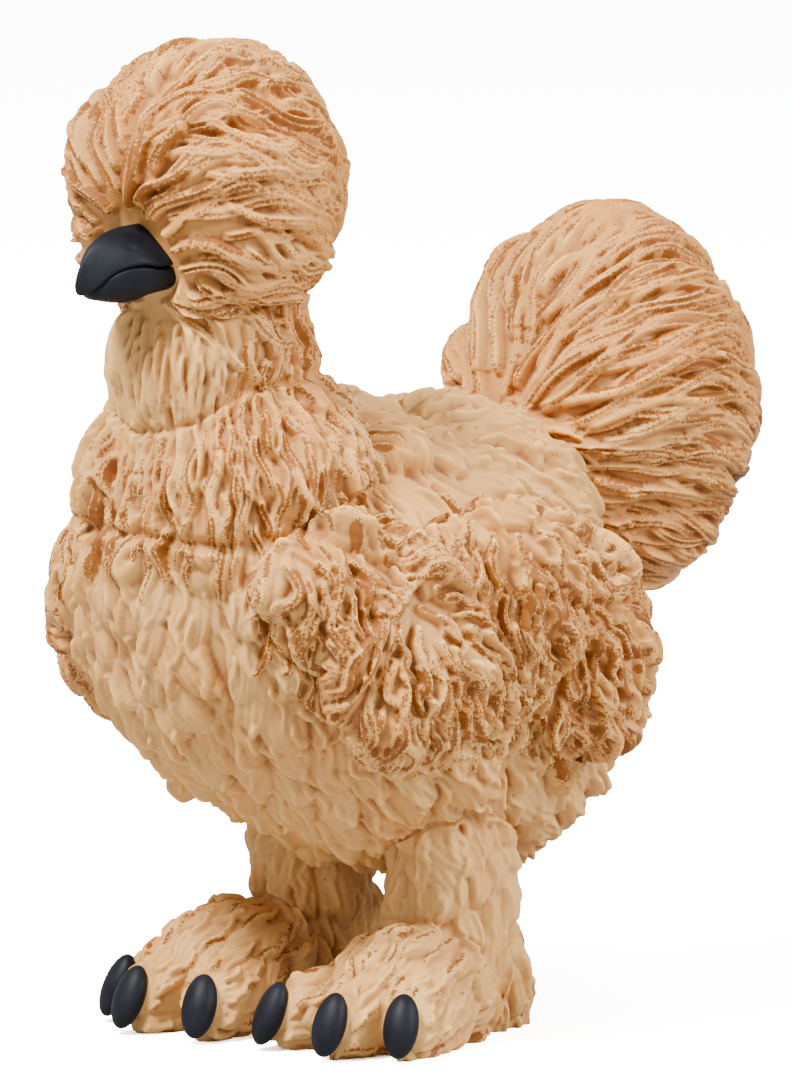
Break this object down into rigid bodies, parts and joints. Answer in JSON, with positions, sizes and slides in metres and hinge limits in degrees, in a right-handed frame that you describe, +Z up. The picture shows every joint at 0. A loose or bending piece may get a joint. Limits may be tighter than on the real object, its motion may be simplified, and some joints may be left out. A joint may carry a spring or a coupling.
{
  "type": "toy silkie chicken figure",
  "caption": "Standing toy figure of a silkie chicken in moulded plastic, with a round crest, a short beak, fluffy locks all over and feathered feet.",
  "frame": {"origin": "middle of the bounding box at floor level, where both soles stand", "axes": "+Z up through the crest, -Y the way the bird faces, +X the bird's left side"},
  "size_m": [0.0268, 0.046, 0.0522],
  "materials": {
    "plumage": "matte, dry-brushed brown on the ridges of the locks",
    "cream": "matte",
    "slate": "satin paint"
  },
  "bodies": {
    "root": {"head": "plumage", "beak_upper": "slate", "beak_lower": "slate", "beard": "cream", "neck": "plumage", "torso": "cream", "wing_left": "plumage", "wing_right": "plumage", "tail": "plumage", "leg_left": "cream", "leg_right": "cream", "foot_left": "cream", "foot_right": "cream", "claw_left_inner": "slate", "claw_left_middle": "slate", "claw_left_outer": "slate", "claw_right_inner": "slate", "claw_right_middle": "slate", "claw_right_outer": "slate"}
  },
  "joints": []
}
